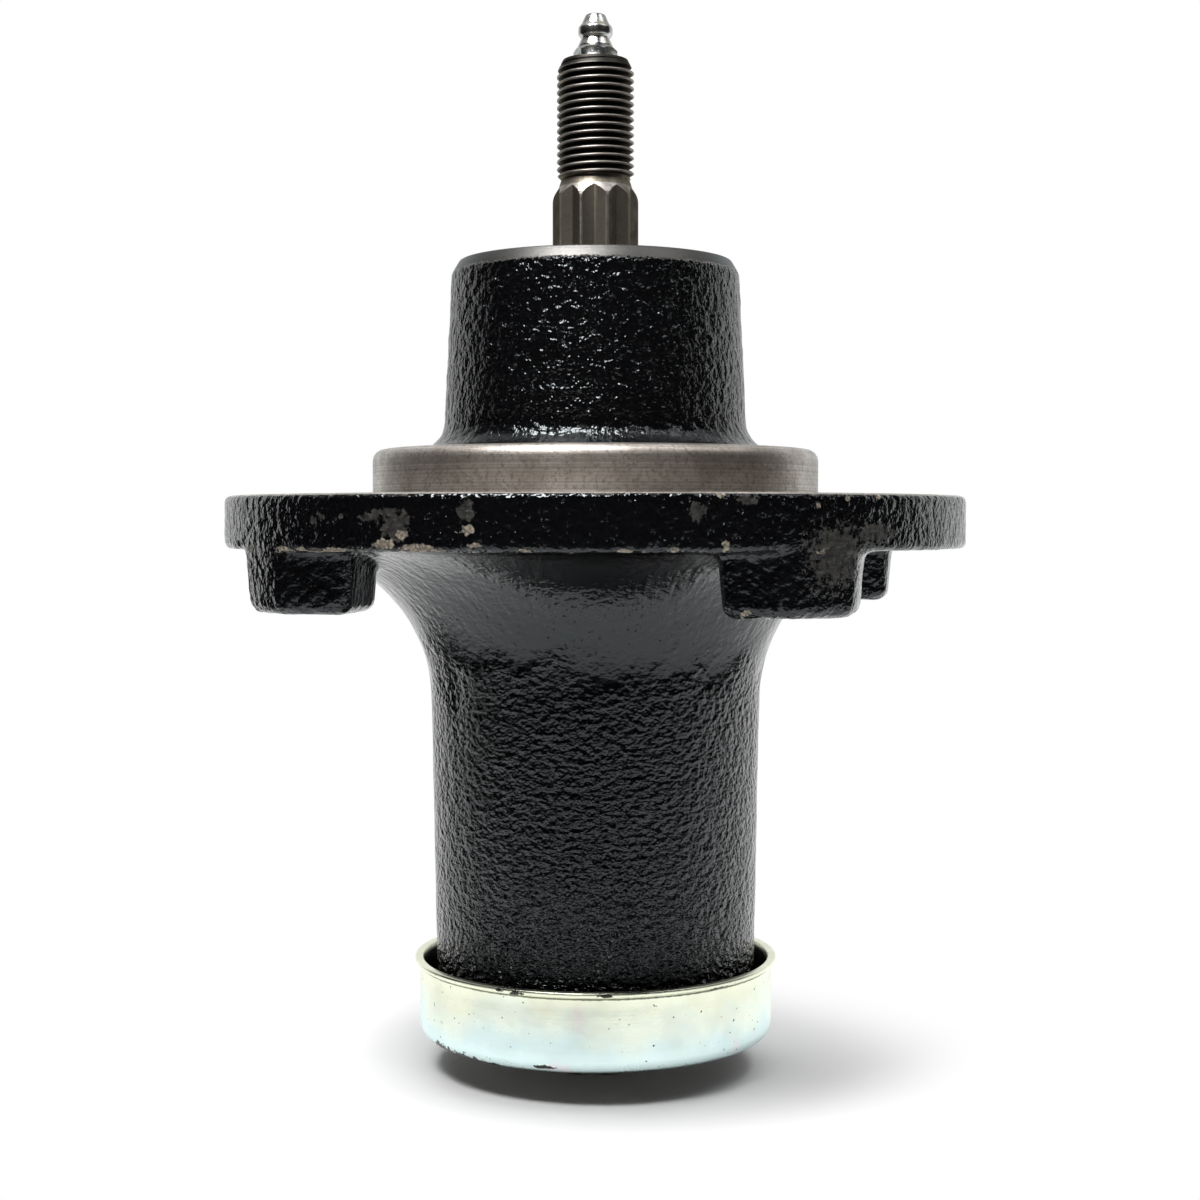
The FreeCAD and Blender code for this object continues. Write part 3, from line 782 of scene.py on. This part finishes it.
def starMesh(name, radius, floor, top):
    tip = radius + shaft["crestCut"]
    step = math.pi / shaft["starPoints"]
    valley = math.cos(2 * step) / math.cos(step)
    bm = bmesh.new()
    made = bmesh.ops.create_circle(bm, cap_ends=True, segments=2 * shaft["starPoints"], radius=tip * mm)
    bmesh.ops.scale(bm, verts=made["verts"][1::2], vec=(valley, valley, 1))
    bmesh.ops.rotate(bm, verts=bm.verts, matrix=Matrix.Rotation(math.radians(shaft["starTurn"] - 90), 3, "Z"))
    bmesh.ops.translate(bm, verts=bm.verts, vec=up * floor * mm)
    raised = bmesh.ops.extrude_face_region(bm, geom=bm.faces[:])["geom"]
    raised = [item for item in raised if isinstance(item, bmesh.types.BMVert)]
    bmesh.ops.translate(bm, verts=raised, vec=up * (top - floor) * mm)
    return newObject(name, closed(bm))


def threadMesh(name, floor, top):
    s = shaft
    pitch = s["threadPitch"]
    rise = math.tan(math.radians(30)) / pitch
    crest = (s["threadRadius"] - s["threadRoot"]) * rise
    rubbed = s["threadRadius"] - s["crestRub"]
    foot = 1 - crest - s["crestFlat"] - s["crestSlope"] - (rubbed - s["threadRoot"]) * rise
    crest += foot
    crestTop = crest + s["crestFlat"]
    outline = [(s["threadRoot"], 0), (s["threadRoot"], foot), (s["threadRadius"], crest),
               (s["threadRadius"], crestTop), (rubbed, crestTop + s["crestSlope"]), (s["threadRoot"], 1)]
    turns = math.ceil((top - floor) / pitch) + 3
    start = floor - 1.5 * pitch
    bm = bmesh.new()
    points = [bm.verts.new((radius * mm, 0, (start + pitch * part) * mm)) for radius, part in outline]
    edges = [bm.edges.new(pair) for pair in zip(points, points[1:])]
    bmesh.ops.spin(bm, geom=points + edges, cent=(0, 0, 0), axis=up, dvec=up * pitch * mm / s["threadSteps"],
                   angle=2 * math.pi * turns, steps=s["threadSteps"] * turns)
    bmesh.ops.remove_doubles(bm, verts=bm.verts, dist=0.002 * mm)
    for height, direction in ((floor, -1), (top, 1)):
        everything = bm.verts[:] + bm.edges[:] + bm.faces[:]
        cut = bmesh.ops.bisect_plane(bm, geom=everything, plane_co=up * height * mm, plane_no=up * direction,
                                     clear_outer=True)["geom_cut"]
        bmesh.ops.edgeloop_fill(bm, edges=[item for item in cut if isinstance(item, bmesh.types.BMEdge)])
    return newObject(name, closed(bm))


def shaftSteel():
    s = shaft
    material, tree, shader, place = newMaterial("shaftSteel", 1.0, 0.3)
    shader.inputs["Specular Tint"].default_value = s["edgeTint"]
    radius, height = roundPlace(tree, place)
    stain = grain(tree, place, 2.5, 4.0, 0.6)
    lines = turningLines(tree, radius, height, 0.2)
    threaded = ease(tree, height, s["threadFloor"] - 0.5, s["threadFloor"] - 0.3)
    starred = ease(tree, height, s["starFloor"] - 0.1, s["starFloor"])
    wornRadius = calc(tree, "ADD", radius, calc(tree, "MULTIPLY", calc(tree, "SUBTRACT", stain, 0.5), 0.25))
    crest = ease(tree, wornRadius, s["threadRadius"] - 0.42, s["threadRadius"] - 0.12)
    thread = blendColour(tree, crest, s["oil"], s["crest"])
    # the star's ridge crests are lightened half-way to bright steel: a painted highlight
    ridgeHighlight = ease(tree, radius, s["starRadius"] - 0.2, s["starRadius"] - 0.08)
    chamferEdge = calc(tree, "MULTIPLY", calc(tree, "SUBTRACT", height, s["starTop"]),
                       -s["starChamfer"] / s["starChamferHeight"])
    cone = calc(tree, "SUBTRACT", s["starRadius"] - s["starChamfer"], radius)
    onCone = ease(tree, calc(tree, "ABSOLUTE", calc(tree, "ADD", cone, chamferEdge)), 0.12, 0.04)
    onCone = calc(tree, "MULTIPLY", onCone, ease(tree, stain, 0.6, 0.42, 0.2, 1.0))
    # bare steel on the turned chamfer, and the painted highlight on the ridges
    worn = calc(tree, "MAXIMUM", calc(tree, "MULTIPLY", ridgeHighlight, 0.5), onCone)
    flank = blendColour(tree, ease(tree, stain, 0.3, 0.7), s["flank"], s["flankStain"])
    star = blendColour(tree, worn, flank, s["bright"])
    plain = blendColour(tree, ease(tree, lines, 0.3, 0.7), s["bright"], s["brightStain"])
    colour = blendColour(tree, threaded, blendColour(tree, starred, plain, star), thread)
    tree.links.new(colour, shader.inputs["Base Color"])
    dull = calc(tree, "ADD", calc(tree, "MULTIPLY", starred, 0.2), ease(tree, stain, 0.3, 0.75, 0.22, 0.36))
    tree.links.new(dull, shader.inputs["Roughness"])
    marks = calc(tree, "ADD", calc(tree, "MULTIPLY", lines, 0.4), calc(tree, "MULTIPLY", stain, 0.6))
    tree.links.new(relief(tree, marks, 0.05), shader.inputs["Normal"])
    return material


def makeShaft():
    s = shaft
    piece = newObject("spindleShaft", turnedMesh(shaftOutline(), s["steps"], plainRows))
    blank = newObject("starBlank", turnedMesh([
        (0, s["starFloor"] - 0.6, 0),
        (s["starRadius"], s["starFloor"] - 0.6, 0),
        (s["starRadius"], s["starTop"] - s["starChamferHeight"], 0.8),
        (s["starRadius"] - s["starChamfer"], s["starTop"], 0),
        (0, s["starTop"], 0),
    ], s["starSteps"], plainRows))
    star = starMesh("star", s["starRadius"], s["starFloor"] - 1, s["starTop"] + 1)
    combine(piece, combine(star, blank, "INTERSECT"), "UNION")
    blank = newObject("bladeBlank", turnedMesh([
        (0, 0, 0),
        (s["bladeStarRadius"] - 0.6, 0, 0),
        (s["bladeStarRadius"], 0.6, 0),
        (s["bladeStarRadius"], s["bladeStarTop"] + 0.5, 0),
        (0, s["bladeStarTop"] + 0.5, 0),
    ], s["starSteps"], plainRows))
    star = starMesh("bladeStar", s["bladeStarRadius"], -1, s["bladeStarTop"] + 1)
    combine(piece, combine(star, blank, "INTERSECT"), "UNION")
    blank = newObject("threadBlank", turnedMesh([
        (0, s["threadFloor"] - 0.94, 0),
        (s["undercut"] - 0.3, s["threadFloor"] - 0.94, 0),
        (s["threadRadius"], s["threadFloor"], 0),
        (s["threadRadius"], s["top"] - s["endChamferHeight"], 0),
        (s["threadRadius"] - s["endChamfer"], s["top"], 0),
        (0, s["top"], 0),
    ], s["steps"], plainRows))
    thread = threadMesh("thread", s["threadFloor"] - 1.2, s["top"] + 0.4)
    combine(piece, combine(thread, blank, "INTERSECT"), "UNION")
    crossing, clearTop = s["crossHeight"], s["top"] + 1
    bolt = [(0, -1), (s["boltHole"], -1), (s["boltHole"], s["boltDepth"]), (0, s["boltDepth"])]
    gallery = [(0, crossing), (s["gallery"], crossing), (s["gallery"], s["fittingFloor"]),
               (s["fittingHole"], s["fittingFloor"]), (s["fittingHole"], clearTop), (0, clearTop)]
    for name, outline in (("boltHole", bolt), ("gallery", gallery)):
        corners = [(radius, height, 0) for radius, height in outline]
        combine(piece, newObject(name, turnedMesh(corners, s["holeSteps"], plainRows)), "DIFFERENCE")
    bm = bmesh.new()
    across = Matrix.Translation(up * crossing * mm) @ Matrix.Rotation(math.radians(90), 4, "Y")
    drill(bm, s["gallery"], 2 * s["lowerSeat"], across)
    combine(piece, newObject("crossHole", bm), "DIFFERENCE")
    dress(piece, "spindle_shaft", shaftSteel(), 25)
    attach(piece, "shaft")


makeShaft()


# Dust cup: one pressed sheet, plated, its rim turned out

cup = {
    "floor": 6.05,
    "rim": 20.6,
    "radius": 32.9,
    "sheet": 1.0,
    "lip": 0.85,
    "corner": 2.2,
    "hole": 11.62,
    "steps": 256,
    "row": 2.0,
    "zinc": (0.9, 0.98, 0.85, 1),
    "yellow": (0.96, 0.98, 0.76, 1),
    "cyan": (0.76, 0.94, 0.93, 1),
    "pink": (0.93, 0.8, 0.85, 1),
    # dark colour of real dirt and specks, also used for the painted shade under the lip and inside the cup
    "dirtAndPaintedShade": (0.06, 0.055, 0.05, 1),
    # grey for the cup's underside: painted shade, which keeps the floor under the cup in shadow
    "dull": (0.25, 0.25, 0.235, 1),
    # marks: degrees right of the photographed side, height, half width in degrees, half height
    "marks": [
        (-24.0, 19.9, 2.0, 0.4), (-30.0, 20.2, 1.2, 0.3), (-58.0, 7.0, 5.0, 0.8), (-47.0, 6.6, 8.0, 0.6),
        (-36.0, 6.4, 4.0, 0.4), (-16.0, 7.2, 3.5, 0.3), (3.0, 20.1, 2.5, 0.3), (40.0, 19.6, 3.0, 0.25),
    ],
}


def cupOutline():
    c = cup
    inner = c["radius"] - c["sheet"]
    return [
        (c["hole"], c["floor"], 0),
        (c["radius"], c["floor"], c["corner"]),
        (c["radius"], c["rim"] - 1.3, 0.3),
        (c["radius"] + c["lip"], c["rim"] - 0.8, 0.25),
        (c["radius"] + c["lip"], c["rim"], 0.3),
        (inner + c["lip"] / 2, c["rim"], 0.25),
        (inner, c["rim"] - 1.3, 0),
        (inner, c["floor"] + c["sheet"], c["corner"] - c["sheet"]),
        (c["hole"], c["floor"] + c["sheet"], 0),
    ]


def platedSheet():
    c = cup
    material, tree, shader, place = newMaterial("platedSheet", 1.0, 0.3)
    radius, height = roundPlace(tree, place)
    first = grain(tree, place, 16.0, 3.0, 0.6)
    second = grain(tree, place, 10.0, 3.0, 0.6)
    ragged = calc(tree, "SUBTRACT", grain(tree, place, 1.0, 3.0, 0.65), 0.5)
    drift = calc(tree, "ADD", height, calc(tree, "MULTIPLY", calc(tree, "SUBTRACT", first, 0.5), 18.0))
    colour = blendColour(tree, ease(tree, drift, 15.5, 9.0), c["zinc"], c["cyan"])
    colour = blendColour(tree, ease(tree, drift, 15.0, 20.0, 0.0, 0.8), colour, c["yellow"])
    colour = blendColour(tree, ease(tree, second, 0.58, 0.72, 0.0, 0.6), colour, c["pink"])
    # a dark line painted just below the lip, as painted shade where the lip overhangs the wall
    lipShadeLine = calc(tree, "ABSOLUTE", calc(tree, "SUBTRACT", height, c["rim"] - 1.25))
    lipShadeLine = ease(tree, calc(tree, "ADD", lipShadeLine, calc(tree, "MULTIPLY", ragged, 0.35)), 0.3, 0.12, 0.0, 0.8)
    specks = ease(tree, grain(tree, place, 0.8, 1.0), 0.73, 0.78)
    flat = viewPlace(tree, place)
    marks = markedPlaces(tree, flat, calc(tree, "MULTIPLY", ragged, 3.0), c["marks"])
    # real specks and marks of dirt, with the painted shade under the lip
    dirtAndPaintedShade = calc(tree, "MAXIMUM", calc(tree, "MAXIMUM", lipShadeLine, specks), marks)
    # the inside of the cup is darkened most of the way to the dark colour: painted shade in the hollow
    inside = ease(tree, radius, c["radius"] - c["sheet"] + 0.3, c["radius"] - c["sheet"] - 0.1, 0.0, 0.75)
    inside = calc(tree, "MULTIPLY", inside, ease(tree, height, c["floor"] + 0.4, c["floor"] + 0.7))
    colour = blendColour(tree, calc(tree, "MAXIMUM", dirtAndPaintedShade, inside), colour, c["dirtAndPaintedShade"])
    # the underside is turned grey as painted shade, so that it throws less light onto the floor below
    under = ease(tree, height, c["floor"] + 0.25, c["floor"] + 0.05)
    colour = blendColour(tree, under, colour, c["dull"])
    tree.links.new(colour, shader.inputs["Base Color"])
    tree.links.new(ease(tree, second, 0.3, 0.7, 0.24, 0.38), shader.inputs["Roughness"])
    drawn = turningLines(tree, radius, height, 0.5)
    dents = calc(tree, "ADD", grain(tree, place, 3.0, 3.0), calc(tree, "MULTIPLY", drawn, 0.12))
    tree.links.new(relief(tree, dents, 0.05), shader.inputs["Normal"])
    return material


def makeCup():
    piece = newObject("dustCup", turnedMesh(cupOutline(), cup["steps"], evenRows(cup["row"])))
    dress(piece, "dust_cup", platedSheet(), 40)
    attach(piece, "shaft")


makeCup()


# Grease fitting: hexagon, neck and ball-check head

fitting = {
    "floor": shaft["top"],
    "top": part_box("grease_fitting_body")[1].z / mm,
    "hexFlats": 7.14,
    "hexTop": 189.3,
    "hexTurn": 33.3,
    "hexChamfer": 1.2,
    "shank": 2.75,
    "shankLength": 5.5,
    "neck": 2.55,
    "neckFoot": 3.2,
    "collarHeight": 1.45,  # a cone round the hexagon's foot
    "headFloor": 190.6,
    "headTop": 193.1,
    "head": 3.16,
    "shoulder": 2.6,
    "nose": 1.75,
    "mouth": 0.9,
    "bore": 1.26,
    "boreDepth": 4.7,  # below the hexagon, to the spring's ledge
    "ballDrop": 2.4,
    "seatFloor": 0.47,  # above the ball's middle, as is the seat's top
    "seatTop": 0.83,
    "steps": 96,
    "headRow": 1.0,
    "boreSteps": 64,
    "zinc": (0.66, 0.68, 0.67, 1),
    "film": (0.62, 0.58, 0.48, 1),
    "edgeTint": (0.6, 0.64, 0.62, 1),
}


def platedFitting():
    material, tree, shader, place = newMaterial("platedFitting", 1.0, 0.16)
    shader.inputs["Specular Tint"].default_value = fitting["edgeTint"]
    radius, height = roundPlace(tree, place)
    film = grain(tree, place, 2.0, 3.0, 0.6)
    lines = turningLines(tree, radius, height, 0.12)
    colour = blendColour(tree, ease(tree, film, 0.45, 0.75), fitting["zinc"], fitting["film"])
    tree.links.new(colour, shader.inputs["Base Color"])
    tree.links.new(ease(tree, film, 0.3, 0.7, 0.18, 0.34), shader.inputs["Roughness"])
    tree.links.new(relief(tree, lines, 0.015), shader.inputs["Normal"])
    return material


def makeFitting():
    f = fitting
    corner = f["hexFlats"] / 2 / math.cos(math.radians(30))
    floor = f["floor"]
    bm = bmesh.new()
    bmesh.ops.create_cone(bm, cap_ends=True, segments=6, radius1=corner * mm, radius2=corner * mm,
                          depth=(f["hexTop"] - floor + 2) * mm)
    turn = Matrix.Rotation(math.radians(f["hexTurn"] + 30 - 90), 4, "Z")
    bmesh.ops.transform(bm, verts=bm.verts, matrix=turn)
    bmesh.ops.translate(bm, verts=bm.verts, vec=up * (f["hexTop"] + floor) / 2 * mm)
    piece = newObject("greaseFitting", closed(bm))
    blank = [(0, floor, 0), (corner - 0.6, floor, 0), (corner, floor + 0.3, 0),
             (corner, f["hexTop"] - f["hexChamfer"], 0), (corner - f["hexChamfer"], f["hexTop"], 0),
             (0, f["hexTop"], 0)]
    combine(piece, newObject("hexBlank", turnedMesh(blank, f["steps"], plainRows)), "INTERSECT")
    coneTop = floor + f["collarHeight"]
    cone = [(0, floor, 0), (corner - 0.1, floor, 0), (f["hexFlats"] / 2 - 0.05, coneTop, 0), (0, coneTop, 0)]
    combine(piece, newObject("collar", turnedMesh(cone, f["steps"], plainRows)), "UNION")
    foot = floor - f["shankLength"]
    head = [(0, foot, 0), (f["shank"], foot, 0.3), (f["shank"], floor + 0.5, 0),
            (f["neckFoot"], f["hexTop"] - 0.1, 0), (f["neck"], f["headFloor"], 0.15),
            (f["head"], f["headFloor"] + 0.6, 0.3), (f["head"], f["headTop"] - 0.5, 0.35),
            (f["shoulder"], f["headTop"], 0.3), (f["nose"], f["top"], 0.35), (0, f["top"], 0)]
    combine(piece, newObject("head", turnedMesh(head, f["steps"], evenRows(f["headRow"]))), "UNION")
    ledge = floor - f["boreDepth"]
    ball = f["top"] - f["ballDrop"]
    bore = [(0, foot - 0.5, 0), (f["mouth"], foot - 0.5, 0), (f["mouth"], ledge, 0), (f["bore"], ledge, 0),
            (f["bore"], ball + f["seatFloor"], 0), (f["mouth"], ball + f["seatTop"], 0),
            (f["mouth"], f["top"] + 1, 0), (0, f["top"] + 1, 0)]
    combine(piece, newObject("bore", turnedMesh(bore, f["boreSteps"], plainRows)), "DIFFERENCE")
    dress(piece, "grease_fitting_body", platedFitting(), 35)
    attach(piece, "shaft")


makeFitting()


# Inside pieces keep their own shape, and are only given their metal or rubber

def plainMetal(name, colour, dark, roughness, size):
    material, tree, shader, place = newMaterial(name, 1.0, roughness)
    film = grain(tree, place, size, 4.0, 0.6)
    tree.links.new(blendColour(tree, ease(tree, film, 0.4, 0.75), colour, dark), shader.inputs["Base Color"])
    tree.links.new(ease(tree, film, 0.3, 0.7, roughness, roughness + 0.15), shader.inputs["Roughness"])
    tree.links.new(relief(tree, grain(tree, place, size / 6), 0.02), shader.inputs["Normal"])
    return material


rubber = {
    "black": (0.014, 0.014, 0.015, 1),
    "dust": (0.05, 0.046, 0.04, 1),
}


def sealRubber():
    material, tree, shader, place = newMaterial("sealRubber", 0.0, 0.5)
    dust = grain(tree, place, 1.5, 4.0, 0.65)
    colour = blendColour(tree, ease(tree, dust, 0.45, 0.8), rubber["black"], rubber["dust"])
    tree.links.new(colour, shader.inputs["Base Color"])
    tree.links.new(ease(tree, dust, 0.3, 0.7, 0.4, 0.65), shader.inputs["Roughness"])
    tree.links.new(relief(tree, grain(tree, place, 0.5), 0.03), shader.inputs["Normal"])
    return material


def dressInside():
    finishes = {
        "bearing_steel": plainMetal("bearingSteel", (0.6, 0.6, 0.6, 1), (0.42, 0.41, 0.4, 1), 0.12, 6.0),
        "cage_steel": plainMetal("cageSteel", (0.5, 0.48, 0.44, 1), (0.34, 0.32, 0.29, 1), 0.28, 4.0),
        "tube_steel": plainMetal("tubeSteel", (0.4, 0.39, 0.37, 1), (0.24, 0.22, 0.2, 1), 0.35, 8.0),
        "seal_rubber": sealRubber(),
    }
    for part in frame["record"]["subparts"]:
        finish = finishes.get(part["material_slot"])
        if finish:
            node = nodes[part["node"]]
            node.data.materials.clear()
            node.data.materials.append(finish)


dressInside()
print("inside pieces dressed")


# Fitting's spring: a coil of wire that fills the spring's place in the fitting

spring = {
    "wire": 0.18,
    "turns": 5,
    "turnSteps": 40,
    "wireSteps": 16,
    "steel": (0.45, 0.45, 0.46, 1),
    "dull": (0.3, 0.3, 0.3, 1),
}


def makeSpring():
    s = spring
    low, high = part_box("grease_fitting_spring")
    wire = s["wire"] * mm
    steps = s["turns"] * s["turnSteps"]
    rise = (high.z - low.z - 2 * wire) / steps
    bm = bmesh.new()
    upright = Matrix.Translation((high.x - wire, 0, low.z + wire)) @ Matrix.Rotation(math.radians(90), 4, "X")
    bmesh.ops.create_circle(bm, segments=s["wireSteps"], radius=wire, matrix=upright)
    bmesh.ops.spin(bm, geom=bm.verts[:] + bm.edges[:], cent=(0, 0, 0), axis=up, dvec=up * rise,
                   angle=2 * math.pi * s["turns"], steps=steps)
    bmesh.ops.holes_fill(bm, edges=[edge for edge in bm.edges if edge.is_boundary])
    piece = newObject("checkSpring", closed(bm))
    steel = plainMetal("springSteel", s["steel"], s["dull"], 0.25, 1.0)
    dress(piece, "grease_fitting_spring", steel, 40)
    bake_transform(piece)


makeSpring()



bpy.context.scene.view_settings.view_transform = "Standard"
